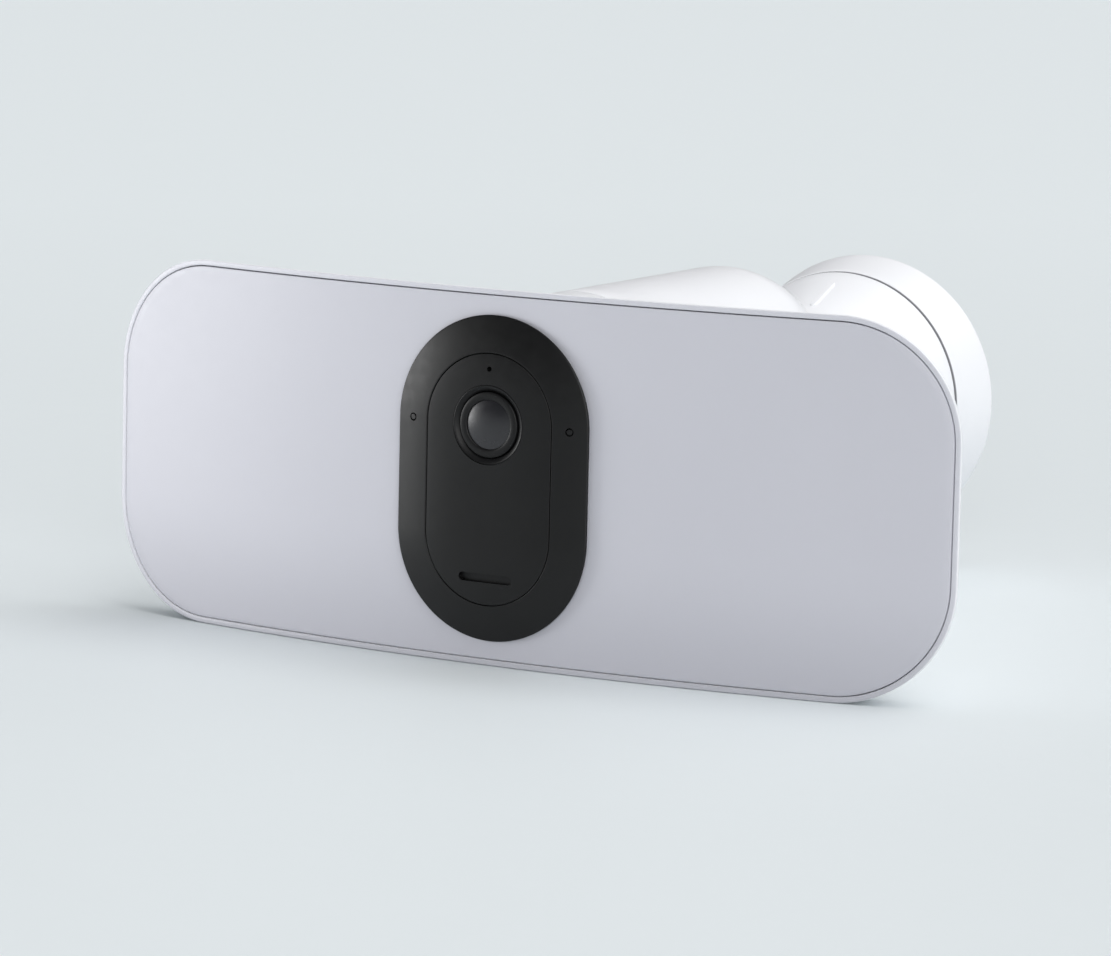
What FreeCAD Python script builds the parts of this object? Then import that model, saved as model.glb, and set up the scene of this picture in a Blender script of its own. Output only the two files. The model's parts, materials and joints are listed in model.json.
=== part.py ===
import FreeCAD, Part
import math
import os

# ---------------------------------------------------------------------------
# Battery floodlight security camera on a wall mount.
# Frame: +Z up, the light faces -Y, origin at the centre of the wall face.
# Depths are written as d, the distance behind the foremost point of the
# light panel, so y = d - DEPTH.  All lengths are in millimetres.
# ---------------------------------------------------------------------------
DEPTH = 321.0            # panel front to wall face

# curved light panel
FACE_R = 855.0           # radius of the panel's front, about a vertical axis
PANEL_HW = 189.0         # half width over the rim
PANEL_HH = 73.7          # half height over the rim
PANEL_CR = 47.2          # corner radius of the rim
PANEL_T = 20.0           # thickness of the light tray
RIM = 2.15               # rim thickness seen from the front
SEAM = 0.5               # gap between rim and diffuser
DIFF_T = 2.2             # diffuser thickness
TAPER_X = 0.66           # inward lean of the tray's ends, per mm of depth
TAPER_Z = 0.30           # inward lean of the tray's top and bottom
RIM_EDGE = 1.3           # depth at which the lean starts

# pill-shaped camera module, two circle centres at z = +-PILL_HL
PILL_HL = 21.5
BEZEL_R = 42.3           # over the bezel's lip, which overhangs the diffuser
BEZEL_BODY_R = 41.1      # below the lip, where it passes through the diffuser
BEZEL_EDGE = -1.55       # depth of the bezel's outer edge
DOME_H = 4.55            # crown height above that edge
DOME_P = 2.8             # crown exponent
FACE_PILL_R = 27.6       # inner camera face
LENS_Z = 21.5
MIC_Z = 43.2
SLOT_Z = -38.5
SLOT_HW = 11.9
SLOT_H = 3.4
SENSOR_X = 35.0

# camera housing, a pill section with a rounded rear end
HOUSE_R = 46.0
HOUSE_WALL = 2.6
SPLIT_D = 62.0           # where the rear housing pulls off the neck
END_D = 181.5            # centre of the rounded end
RELEASE_D = 100.0        # release button position

# ball mount
BALL_D = 213.0
BALL_R = 16.5
NECK_R = 8.0
LINER_IN = 16.56
LINER_OUT = 19.5
CAVITY_R = 19.56
CONE_FRONT = 250.0
CONE_END = 295.6
CONE_R = 56.1            # radius at depth 296
CONE_SLOPE = 0.42
SKIRT_START = 296.4
SKIRT_SLOPE = 0.213
PLATE_R = 53.0
WALL_PCD = 80.0
WALL_HOLE_R = 2.6

V = FreeCAD.Vector
UP = V(0, 0, 1)
YD = V(0, 1, 0)


def yd(d):
    return d - DEPTH


def sag(x):
    return FACE_R - math.sqrt(FACE_R ** 2 - x * x)


def dome(r):
    return BEZEL_EDGE - DOME_H * (1.0 - (min(r, BEZEL_R) / BEZEL_R) ** DOME_P)


def box(x0, x1, d0, d1, z0, z1):
    return Part.makeBox(x1 - x0, d1 - d0, z1 - z0, V(x0, yd(d0), z0))


def cyl(r, d0, d1, x=0.0, z=0.0):
    return Part.makeCylinder(r, d1 - d0, V(x, yd(d0), z), YD)


def zcyl(r, z0, z1, x, d):
    return Part.makeCylinder(r, z1 - z0, V(x, yd(d), z0), UP)


def fuse(shapes):
    s = shapes[0]
    for t in shapes[1:]:
        s = s.fuse(t)
    return s


def one(s):
    return s.Solids[0] if len(s.Solids) == 1 else s


def revolve(pts, x=0.0, z=0.0):
    # closed (r, d) outline turned about an axis parallel to Y
    w = Part.makePolygon([V(x + r, yd(d), z) for r, d in pts + [pts[0]]])
    return Part.Face(w).revolve(V(x, 0, z), YD, 360)


def loop_face(pts, sign, z):
    w = Part.makePolygon([V(sign * r, yd(d), z) for r, d in pts + [pts[0]]])
    return Part.Face(w)


def pill(pts, hl=PILL_HL):
    # closed (r, d) outline swept round a pill, r measured from its spine
    top = loop_face(pts, 1, hl).revolve(V(0, 0, hl), V(0, -1, 0), 180)
    bot = loop_face(pts, 1, -hl).revolve(V(0, 0, -hl), YD, 180)
    mr = loop_face(pts, 1, -hl).extrude(V(0, 0, 2 * hl))
    ml = loop_face(pts, -1, -hl).extrude(V(0, 0, 2 * hl))
    return one(fuse([top, mr, bot, ml]).removeSplitter())


def pill_plate(r, d0, d1, hl=PILL_HL):
    return pill([(0, d0), (r, d0), (r, d1), (0, d1)], hl)


def pill_ring(ri, ro, d0, d1, hl=PILL_HL):
    return pill([(ri, d0), (ro, d0), (ro, d1), (ri, d1)], hl)


def bullet(r, d0, hl=PILL_HL):
    # pill section with a spherical rear end centred at END_D
    def face(sign, z):
        a = V(0, yd(d0), z)
        b = V(sign * r, yd(d0), z)
        c = V(sign * r, yd(END_D), z)
        m = V(sign * r * math.sin(math.pi / 4), yd(END_D + r * math.cos(math.pi / 4)), z)
        e = V(0, yd(END_D + r), z)
        return Part.Face(Part.Wire([Part.makeLine(a, b), Part.makeLine(b, c),
                                    Part.Arc(c, m, e).toShape(), Part.makeLine(e, a)]))
    top = face(1, hl).revolve(V(0, 0, hl), V(0, -1, 0), 180)
    bot = face(1, -hl).revolve(V(0, 0, -hl), YD, 180)
    mr = face(1, -hl).extrude(V(0, 0, 2 * hl))
    ml = face(-1, -hl).extrude(V(0, 0, 2 * hl))
    return one(fuse([top, mr, bot, ml]).removeSplitter())


def rrect(hw, hh, r, d0, d1):
    # rounded rectangle prism along Y
    y = yd(d0)
    k = r * (1 - math.sqrt(0.5))
    P = lambda x, z: V(x, y, z)
    e = [Part.makeLine(P(-hw + r, hh), P(hw - r, hh)),
         Part.Arc(P(hw - r, hh), P(hw - k, hh - k), P(hw, hh - r)).toShape(),
         Part.makeLine(P(hw, hh - r), P(hw, -hh + r)),
         Part.Arc(P(hw, -hh + r), P(hw - k, -hh + k), P(hw - r, -hh)).toShape(),
         Part.makeLine(P(hw - r, -hh), P(-hw + r, -hh)),
         Part.Arc(P(-hw + r, -hh), P(-hw + k, -hh + k), P(-hw, -hh + r)).toShape(),
         Part.makeLine(P(-hw, -hh + r), P(-hw, hh - r)),
         Part.Arc(P(-hw, hh - r), P(-hw + k, hh - k), P(-hw + r, hh)).toShape()]
    return Part.Face(Part.Wire(e)).extrude(V(0, d1 - d0, 0))


def bowed(t):
    # everything more than t behind the panel's curved front
    return Part.makeCylinder(FACE_R - t, 400, V(0, yd(FACE_R), -200), UP)


def slab(t0, t1):
    # curved sheet between depths t0 and t1 behind the panel's front
    return bowed(t0).cut(bowed(t1))


def leaning(hw, hh, r, start, kx, kz):
    # tray wall surface that follows the bow and leans in with depth
    def outline(c):
        wires = []
        cs = [(hw - r, hh - r, 90, 0), (hw - r, -hh + r, 0, -90),
              (-hw + r, -hh + r, -90, -180), (-hw + r, hh - r, 180, 90)]

        def place(x0, z0, nx, nz):
            x = x0
            for _ in range(30):
                x = x0 - kx * nx * (c - sag(min(abs(x), 400)) - start)
            s = c - sag(min(abs(x), 400)) - start
            return V(x, yd(c), z0 - kz * nz * s)
        for i, (cx, cz, a0, a1) in enumerate(cs):
            pts = []
            for j in range(13):
                a = math.radians(a0 + (a1 - a0) * j / 12.0)
                pts.append(place(cx + r * math.cos(a), cz + r * math.sin(a),
                                 math.cos(a), math.sin(a)))
            b = Part.BSplineCurve()
            b.interpolate(pts)
            wires.append((pts, b.toShape()))
        edges = []
        for i in range(4):
            pts, e = wires[i]
            nxt = wires[(i + 1) % 4][0]
            edges.append(e)
            a, bb = pts[-1], nxt[0]
            if i in (0, 2):
                edges.append(Part.makeLine(a, bb))
            else:
                sgn = -1 if i == 1 else 1
                run = []
                for j in range(17):
                    x0 = -sgn * (hw - r) * (1 - 2 * j / 16.0)
                    run.append(place(x0, sgn * hh, 0, sgn))
                run[0], run[-1] = a, bb
                b = Part.BSplineCurve()
                b.interpolate(run)
                edges.append(b.toShape())
        return Part.Wire(edges)
    return Part.makeLoft([outline(-12.0), outline(56.0)], True, True)


def turned(s, deg):
    t = s.copy()
    t.rotate(V(0, 0, 0), YD, deg)
    return t


def sector(ri, ro, d0, d1, mid, width):
    # part of a ring about the Y axis, centred on angle mid
    n = max(4, int(width / 6))
    a0 = math.radians(mid - width / 2.0)
    a1 = math.radians(mid + width / 2.0)
    am = (a0 + a1) / 2
    P = lambda r, a: V(r * math.cos(a), yd(d0), r * math.sin(a))
    w = Part.Wire([Part.makeLine(P(ri, a0), P(ro, a0)),
                   Part.Arc(P(ro, a0), P(ro, am), P(ro, a1)).toShape(),
                   Part.makeLine(P(ro, a1), P(ri, a1)),
                   Part.Arc(P(ri, a1), P(ri, am), P(ri, a0)).toShape()])
    return Part.Face(w).extrude(V(0, d1 - d0, 0))


def screws(spots, head_r, head_t, shank_r, d_head, toward, length, recess=0.55):
    # pan head screws along Y; toward is +1 when the shank points to +Y
    out = []
    for x, z in spots:
        if toward > 0:
            h = cyl(head_r, d_head - head_t, d_head, x, z)
            s = cyl(shank_r, d_head, d_head + length, x, z)
            cut = [box(x - head_r * 0.6, x + head_r * 0.6, d_head - head_t - 0.1,
                       d_head - head_t * 0.45, z - 0.35, z + 0.35),
                   box(x - 0.35, x + 0.35, d_head - head_t - 0.1,
                       d_head - head_t * 0.45, z - head_r * 0.6, z + head_r * 0.6)]
        else:
            h = cyl(head_r, d_head, d_head + head_t, x, z)
            s = cyl(shank_r, d_head - length, d_head, x, z)
            cut = [box(x - head_r * 0.6, x + head_r * 0.6, d_head + head_t * 0.45,
                       d_head + head_t + 0.1, z - 0.35, z + 0.35),
                   box(x - 0.35, x + 0.35, d_head + head_t * 0.45,
                       d_head + head_t + 0.1, z - head_r * 0.6, z + head_r * 0.6)]
        q = h.fuse(s)
        for c in cut:
            q = q.cut(c)
        out.append(one(q.removeSplitter()))
    return out


nodes = {}


def put(name, shape):
    if isinstance(shape, list):
        shape = Part.makeCompound([one(s) for s in shape])
    nodes[name] = shape


# ---------------------------------------------------------------------------
# Wall mount, fixed half
# ---------------------------------------------------------------------------
holes4 = [(WALL_PCD / 2 * math.cos(math.radians(a)), WALL_PCD / 2 * math.sin(math.radians(a)))
          for a in (45, 135, 225, 315)]
skirt_screw_spots = [(49.0 * math.cos(math.radians(a)), 49.0 * math.sin(math.radians(a)))
                     for a in (90, 210, 330)]
plate = cyl(PLATE_R, 318, 321)
plate = plate.fuse(cyl(34, 296, 318.5))
plate = plate.cut(cyl(30, 290, 322))
for a in (90, 210, 330):
    plate = plate.fuse(sector(33.5, 38.5, 296, 299, a, 30))
    plate = plate.fuse(sector(33.5, 38.5, 296, 302.6, a + 19.5, 7))
for x, z in holes4:
    plate = plate.cut(cyl(WALL_HOLE_R, 310, 325, x, z))
for x, z in skirt_screw_spots:
    plate = plate.cut(cyl(1.6, 317, 320.6, x, z))
put("wall_plate", plate.removeSplitter())

r0 = CONE_R
r1 = r0 + SKIRT_SLOPE * (319 - 296)
skirt = revolve([(r0 - 0.9, SKIRT_START), (r0 + 0.15, SKIRT_START + 0.7), (r1, 319.0), (r1 + 0.1, 320.2),
                 (r1 - 0.6, 321.0), (57.6, 321.0), (57.6, 317.9), (45.0, 317.9), (45.0, 315.0),
                 (57.0, 315.0), (53.4, 299.0), (53.4, SKIRT_START)])
for x, z in skirt_screw_spots:
    skirt = skirt.cut(cyl(1.7, 310, 320, x, z))
put("base_skirt", skirt)
put("wall_gasket", revolve([(53.3, 318.3), (57.3, 318.3), (57.3, 321.0), (53.3, 321.0)]))
put("base_screws", screws(skirt_screw_spots, 2.9, 2.0, 1.5, 315.0, 1, 5.4))

# ---------------------------------------------------------------------------
# Wall mount, twist-off cone
# ---------------------------------------------------------------------------
def cone_r(d, off=0.0):
    return CONE_R - CONE_SLOPE * (296 - d) + off


outer = revolve([(0, CONE_FRONT), (cone_r(CONE_FRONT), CONE_FRONT), (cone_r(CONE_END - 0.6), CONE_END - 0.6),
                 (cone_r(CONE_END) - 0.7, CONE_END), (0, CONE_END)])
front = [e for e in outer.Edges if abs(e.BoundBox.YMax - yd(CONE_FRONT)) < 1e-4
         and abs(e.BoundBox.YMin - yd(CONE_FRONT)) < 1e-4 and e.BoundBox.XLength > 60]
outer = outer.makeFillet(8.0, front[:1])
hollow = revolve([(0, CONE_FRONT + 3), (cone_r(CONE_FRONT + 3, -9.0), CONE_FRONT + 3),
                  (cone_r(262, -3.2), 262), (cone_r(CONE_END + 1, -3.2), CONE_END + 1), (0, CONE_END + 1)])
tick_band = revolve([(0, 266), (cone_r(266, 0.6), 266), (cone_r(285.5, 0.6), 285.5), (0, 285.5)])
tick = tick_band.common(box(-1.1, 1.1, 260, 290, 20, 70))
cone = outer.fuse(tick).cut(hollow)
clamp_spots = [(18.7 * math.cos(math.radians(a)), 18.7 * math.sin(math.radians(a))) for a in (45, 135, 225, 315)]
cone = cone.cut(cyl(NECK_R + 0.05, CONE_FRONT - 1, CONE_FRONT + 4))
for x, z in clamp_spots:
    cone = cone.cut(cyl(1.35, 250.9, 254, x, z))
post_spots = [(41.0 * math.cos(math.radians(a)), 41.0 * math.sin(math.radians(a))) for a in (30, 150, 270)]
for x, z in post_spots:
    post = cyl(4.0, 268, 292.3, x, z).common(outer)
    cone = cone.fuse(post)
for x, z in post_spots:
    cone = cone.cut(cyl(1.45, 280, 293, x, z))
put("mount_cone", cone)

tw = revolve([(39.0, 292.4), (49.6, 292.4), (49.6, 294.9), (39.0, 294.9)])
for a in (90, 210, 330):
    tw = tw.fuse(sector(39.0, 42.0, 292.4, 302.0, a, 28))
    tw = tw.fuse(sector(34.4, 39.5, 299.5, 302.0, a, 28))
for x, z in post_spots:
    tw = tw.fuse(cyl(4.4, 292.4, 294.9, x, z).cut(cyl(38.9, 290, 300)))
    tw = tw.cut(cyl(1.6, 290, 300, x, z))
put("twist_plate", tw)
put("twist_plate_screws", screws(post_spots, 2.8, 1.8, 1.4, 294.9, -1, 12.0))
put("clamp_plate", revolve([(15.3, 253.02), (22.0, 253.02), (22.0, 258.6), (9.2, 258.6), (9.2, 256.4), (15.3, 256.4)]))
cp = nodes["clamp_plate"]
for x, z in clamp_spots:
    cp = cp.cut(cyl(1.5, 252, 260, x, z))
nodes["clamp_plate"] = cp
put("clamp_screws", screws(clamp_spots, 2.3, 1.8, 1.3, 258.6, -1, 7.6))

# ---------------------------------------------------------------------------
# Ball stud, socket liner
# ---------------------------------------------------------------------------
BC = V(0, yd(BALL_D), 0)
stud = Part.makeSphere(BALL_R, BC, V(1, 0, 0), -90, 90, 360)
stud = stud.fuse(cyl(NECK_R, BALL_D + 12, 254))
stud = stud.fuse(cyl(15.0, 253.06, 256.3))
stud = stud.fuse(cyl(8.9, 256.0, 261.0))
stud = stud.cut(cyl(4.2, 250, 262))
put("ball_stud", one(stud.removeSplitter()))

liner = Part.makeSphere(LINER_OUT, BC, YD, -90, 90, 360).cut(Part.makeSphere(LINER_IN, BC, YD, -90, 90, 360))
liner = liner.cut(box(-30, 30, BALL_D + 7.0, BALL_D + 40, -30, 30))
for a in (45, 135, 225, 315):
    slot = box(-0.7, 0.7, BALL_D - 3, BALL_D + 12, 10, 30)
    liner = liner.cut(turned(slot, a))
put("socket_liner", one(liner))

# ---------------------------------------------------------------------------
# Rear housing with the ball socket
# ---------------------------------------------------------------------------
H_START = SPLIT_D + 1.2
R_IN = HOUSE_R - HOUSE_WALL
inner_full = bullet(R_IN - 0.2, 60)
house = bullet(HOUSE_R, H_START)
flare = revolve([(0, BALL_D + 5.0), (18.9, BALL_D + 5.0), (18.9, BALL_D + 6.6), (27.4, BALL_D + 16.0), (0, BALL_D + 16.0)])
sock_spots = [(12.5, 25.0), (-12.5, 25.0), (12.5, -25.0), (-12.5, -25.0)]
bosses = []
for x, z in sock_spots:
    bosses.append(cyl(3.6, 217.1, 226, x, z).common(bullet(HOUSE_R - 1.0, 60)))
house = house.cut(bullet(R_IN, H_START - 2))
for b in bosses:
    house = house.fuse(b)
house = house.cut(flare)
btn_hole = zcyl(6.3, -75, -50, 0, RELEASE_D)
house = house.cut(btn_hole)
for x, z in sock_spots:
    house = house.cut(cyl(1.55, 215, 221.6, x, z))
# two ribs that carry the latch bracket
for s in (-1, 1):
    rib = box(s * 14 - 1.5, s * 14 + 1.5, RELEASE_D - 12, RELEASE_D + 12, -66, -54.5)
    house = house.fuse(rib.common(bullet(HOUSE_R - 1.0, 60)))
put("rear_housing", one(house))

seat = pill_plate(22.5, 205, 213.0, 12.0).fuse(cyl(24.5, 190, 213.0)).common(inner_full)
seat = seat.cut(Part.makeSphere(CAVITY_R, BC, UP, -90, 90, 360))
ret = pill_plate(22.5, 213.05, 217.0, 12.0).fuse(cyl(24.5, 213.05, BALL_D + 6.3)).common(inner_full)
ret = ret.cut(Part.makeSphere(CAVITY_R, BC, UP, -90, 90, 360))
for x, z in sock_spots:
    seat = seat.cut(cyl(1.7, 200, 214, x, z))
    ret = ret.cut(cyl(1.7, 212, 220, x, z))
    ret = ret.cut(cyl(3.8, 217.02, 226, x, z))
put("socket_seat", one(seat))
put("socket_retainer", one(ret))
put("socket_screws", screws(sock_spots, 2.9, 2.0, 1.5, 205.0, 1, 16.2))

# release button, its spring and the spring clip that holds the neck
brk = box(-16, 16, RELEASE_D - 12, RELEASE_D + 12, -54.45, -52.6)
brk = brk.fuse(zcyl(1.5, -58.4, -54.0, 0, RELEASE_D))
brk = brk.fuse(box(-7, 7, RELEASE_D + 7.5, RELEASE_D + 12, -56.48, -54.0))
brk = brk.cut(zcyl(1.3, -60, -50, 0, RELEASE_D + 9.8))
put("latch_bracket", one(brk.removeSplitter()))
clip = box(-7.0, 7.0, 92.0, RELEASE_D + 11.5, -57.2, -56.5).fuse(box(-4.0, 4.0, 68.4, 93.0, -57.2, -56.5))
clip = clip.fuse(box(-4.0, 4.0, 68.4, 69.5, -64.2, -56.5))
clip = clip.cut(zcyl(4.4, -60, -50, 0, RELEASE_D))
put("latch_clip", one(clip.removeSplitter()))
pad = zcyl(6.0, -70, -58.0, 0, RELEASE_D).common(bullet(HOUSE_R + 0.55, 70))
flg = zcyl(8.6, -64.0, -61.4, 0, RELEASE_D).common(bullet(R_IN - 0.35, 70))
btn = pad.fuse(flg)
btn = btn.cut(zcyl(3.9, -62.6, -57.0, 0, RELEASE_D))
put("release_button", one(btn))
pitch_n = 4
spr = Part.makeHelix(6.9 / pitch_n, 6.9, 2.9)
prof = Part.Wire(Part.makeCircle(0.35, V(2.9, 0, 0), V(0, 1, 0)))
sp = Part.Wire(spr).makePipeShell([prof], True, True)
sp.translate(V(0, yd(RELEASE_D), -61.95))
put("release_spring", one(sp))

# ---------------------------------------------------------------------------
# Head: light tray, diffuser and light engine
# ---------------------------------------------------------------------------
outer_wall = leaning(PANEL_HW, PANEL_HH, PANEL_CR, RIM_EDGE, TAPER_X, TAPER_Z)
tray = rrect(PANEL_HW, PANEL_HH, PANEL_CR, -5, 60).common(slab(0, PANEL_T)).common(outer_wall)
try:
    fe = []
    for e in tray.Edges:
        m = e.valueAt((e.FirstParameter + e.LastParameter) / 2)
        if abs(math.hypot(m.x, m.y - yd(FACE_R)) - FACE_R) < 0.01:
            fe.append(e)
    t2 = tray.makeFillet(1.2, fe)
    if t2.isValid() and len(t2.Solids) == 1:
        tray = t2
        print("rim fillet ok", len(fe))
except Exception as ex:
    print("rim fillet skipped", ex)
o = RIM
pocket = rrect(PANEL_HW - o, PANEL_HH - o, PANEL_CR - o, -5, 60).common(slab(-3, 5.2))
inner_wall = leaning(PANEL_HW - 5.0, PANEL_HH - 4.4, PANEL_CR - 4.6, RIM_EDGE, TAPER_X, TAPER_Z)
well = rrect(PANEL_HW - 5.0, PANEL_HH - 4.4, PANEL_CR - 4.6, -5, 60).common(slab(-3, PANEL_T - 2.6)).common(inner_wall)
tray = tray.cut(pocket.common(leaning(PANEL_HW - o, PANEL_HH - o, PANEL_CR - o, RIM_EDGE, TAPER_X, TAPER_Z))).cut(well)
ring = pill_ring(40.0, 45.0, 9.5, 21.0).fuse(pill_ring(43.0, 45.0, 3.7, 12.0))
tray = tray.fuse(ring.common(bowed(3.0)).cut(bowed(PANEL_T - 2.0)))
tray = tray.cut(pill_plate(34.5, 12, 24))
neck_spots = [(37.2, 13.0), (-37.2, 13.0), (37.2, -13.0), (-37.2, -13.0)]
for x, z in neck_spots:
    tray = tray.cut(cyl(1.5, 14, 24, x, z))
put("panel_tray", one(tray))

g = PANEL_HW - RIM - SEAM
diff = rrect(g, PANEL_HH - RIM - SEAM, PANEL_CR - RIM - SEAM, -5, 40).common(slab(0, DIFF_T))
diff = diff.common(leaning(g, PANEL_HH - RIM - SEAM, PANEL_CR - RIM - SEAM, RIM_EDGE - 0.2, TAPER_X, TAPER_Z))
diff = diff.cut(pill_plate(BEZEL_BODY_R + 0.25, -5, 10))
put("light_diffuser", one(diff))
gk = rrect(g - 0.3, PANEL_HH - RIM - SEAM - 0.3, PANEL_CR - 3.0, -5, 40).cut(
    rrect(g - 3.0, PANEL_HH - RIM - SEAM - 2.4, PANEL_CR - 5.0, -6, 41)).common(slab(DIFF_T + 0.02, 5.1))
gk = gk.common(leaning(PANEL_HW - RIM - 0.4, PANEL_HH - RIM - 0.4, PANEL_CR - RIM - 0.4, RIM_EDGE, TAPER_X, TAPER_Z))
put("diffuser_gasket", one(gk))

sp_o = rrect(172.0, 61.5, 36.0, -5, 60).common(slab(14.6, 17.2)).cut(pill_plate(46.0, 0, 40))
put("heat_spreader", one(sp_o))


def led_board(s):
    b = rrect(166.0, 56.0, 32.0, -5, 60).common(slab(13.0, 14.55)).cut(pill_plate(50.0, 0, 40))
    half = box(0, 200, -10, 70, -80, 80) if s > 0 else box(-200, 0, -10, 70, -80, 80)
    return b.common(half).cut(box(-54, 54, -10, 70, -80, 80))


put("led_board_right", one(led_board(1)))
put("led_board_left", one(led_board(-1)))
leds = []
for s in (-1, 1):
    for i in range(6):
        for j in range(4):
            x = s * (66 + i * 17.5)
            z = -42 + j * 28
            if i == 5 and j in (0, 3):
                x = s * (66 + 4.55 * 17.5)
            th = math.degrees(math.asin(x / (FACE_R - 13)))
            b = Part.makeBox(3.4, 1.0, 3.4, V(-1.7, -(FACE_R - 13) - 1.02, z - 1.7))
            b.rotate(V(0, 0, 0), UP, th)
            b.translate(V(0, yd(FACE_R), 0))
            leds.append(b)
put("led_emitters", leds)

# ---------------------------------------------------------------------------
# Head: camera bezel and camera face
# ---------------------------------------------------------------------------
N = 14
rim_r = [27.95 + (BEZEL_R - 27.95) * i / N for i in range(N + 1)]
bez = [(r, dome(r)) for r in rim_r]
bez[-1] = (BEZEL_R, BEZEL_EDGE + 0.25)
bez.insert(-1, (BEZEL_R - 0.35, dome(BEZEL_R - 0.35)))
bez += [(BEZEL_R, -0.75), (BEZEL_BODY_R, -0.45), (BEZEL_BODY_R, 8.0), (39.0, 8.0), (39.0, 1.1)]
bez += [(r, dome(r) + 2.4) for r in (37.0, 33.0, 30.4)] + [(30.2, -1.95), (27.95, -1.95)]
bezel = pill(bez)
chassis_spots = [(33.0, 30.0), (-33.0, 30.0), (33.0, -30.0), (-33.0, -30.0)]
for x, z in chassis_spots:
    bezel = bezel.fuse(cyl(3.0, -2.2, 9.55, x, z))
for x, z in chassis_spots:
    bezel = bezel.cut(cyl(1.25, 3.0, 10, x, z))
for s in (-1, 1):
    bezel = bezel.cut(cyl(1.62, -8, 6, s * SENSOR_X, LENS_Z))
put("front_bezel", one(bezel))
put("bezel_gasket", pill_ring(40.3, 42.5, 8.03, 9.47))

face = [(FACE_PILL_R * i / N, dome(FACE_PILL_R * i / N)) for i in range(N + 1)]
face += [(FACE_PILL_R, -1.85), (30.0, -1.85), (30.0, -0.5), (25.0, -0.5), (25.0, -3.4), (0, -3.4)]
cf = pill(face)
cf = cf.cut(cyl(15.6, -10, 5, 0, LENS_Z))
cf = cf.cut(cyl(1.0, -10, 5, 0, MIC_Z))
obr = box(-SLOT_HW + SLOT_H / 2, SLOT_HW - SLOT_H / 2, -10, 5, SLOT_Z - SLOT_H / 2, SLOT_Z + SLOT_H / 2)
obr = obr.fuse(cyl(SLOT_H / 2, -10, 5, SLOT_HW - SLOT_H / 2, SLOT_Z)).fuse(
    cyl(SLOT_H / 2, -10, 5, -SLOT_HW + SLOT_H / 2, SLOT_Z))
cf = cf.cut(obr)
put("camera_face", one(cf))

mw = box(-11.4, 11.4, -3.38, -2.2, SLOT_Z - 3.2, SLOT_Z + 3.2)
mw = mw.fuse(cyl(3.2, -3.38, -2.2, 11.4, SLOT_Z)).fuse(cyl(3.2, -3.38, -2.2, -11.4, SLOT_Z))
put("motion_sensor_window", one(mw.removeSplitter()))
pir = fuse([cyl(4.5, -1.9, 8.0, 0, SLOT_Z), cyl(5.3, 7.6, 9.58, 0, SLOT_Z)])
put("motion_sensor", one(pir.removeSplitter()))

put("lens_trim_ring", revolve([(15.5, -5.75), (15.2, -5.95), (13.5, -4.75), (13.15, -4.4), (13.15, -0.6), (15.5, -0.6)],
                              0, LENS_Z))
put("lens_barrel", revolve([(9.65, -5.1), (10.1, -5.5), (12.3, -5.5), (12.8, -5.1), (12.8, 9.4), (11.4, 9.4),
                            (11.4, 22.2), (5.0, 22.2), (5.0, 15.6), (6.35, 15.6), (6.35, 11.6), (7.8, 6.0),
                            (7.8, -1.9), (9.65, -1.9)], 0, LENS_Z))
# front lens: crowned front, flat back
cap_r = (9.55 ** 2 + 1.15 ** 2) / (2 * 1.15)
lens = cyl(9.55, -6.3, -1.95, 0, LENS_Z).common(
    Part.makeSphere(cap_r, V(0, yd(-6.0 + cap_r), LENS_Z)))
put("front_lens", one(lens))
rl_r = (6.3 ** 2 + 1.3 ** 2) / (2 * 1.3)
rear = cyl(6.3, 11.7, 15.55, 0, LENS_Z).common(Part.makeSphere(rl_r, V(0, yd(11.7 + rl_r), LENS_Z)))
put("rear_lens", one(rear))
put("sensor_windows", [fuse([cyl(1.55, dome(34.6) + 0.25, 1.2, s * SENSOR_X, LENS_Z),
                             cyl(2.6, 1.4, 2.4, s * SENSOR_X, LENS_Z),
                             cyl(1.55, 1.0, 1.6, s * SENSOR_X, LENS_Z)]) for s in (-1, 1)])
put("infrared_emitters", [fuse([cyl(2.3, 2.6, 7.4, s * SENSOR_X, LENS_Z), cyl(2.8, 7.2, 9.5, s * SENSOR_X, LENS_Z)])
                          for s in (-1, 1)])
put("microphone", cyl(2.4, -3.35, -1.1, 0, MIC_Z).cut(cyl(0.6, -4, -2.6, 0, MIC_Z)))

# ---------------------------------------------------------------------------
# Head: chassis, boards and the day/night filter
# ---------------------------------------------------------------------------
ch = pill_plate(39.4, 9.6, 11.6)
board_spots = [(22.0, 36.5), (-22.0, 36.5), (22.0, -36.5), (-22.0, -36.5)]
ch = ch.cut(cyl(13.1, 5, 15, 0, LENS_Z)).cut(cyl(2.5, 5, 15, 0, SLOT_Z)).cut(box(-18, 18, 5, 15, -22, 2))
for x, z in board_spots:
    ch = ch.fuse(cyl(3.0, 11.0, 29.55, x, z))
for x, z in board_spots:
    ch = ch.cut(cyl(1.25, 22, 30, x, z))
for x, z in chassis_spots:
    ch = ch.cut(cyl(1.45, 9, 12, x, z))
for s in (-1, 1):
    ch = ch.fuse(cyl(1.8, 11.0, 27.15, s * 11.5, LENS_Z - 11.5)).fuse(cyl(1.8, 11.0, 27.15, s * 11.5, LENS_Z + 11.5))
put("camera_chassis", one(ch.removeSplitter()))
put("module_screws", screws(chassis_spots, 2.4, 1.6, 1.2, 11.6, -1, 7.4))

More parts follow.
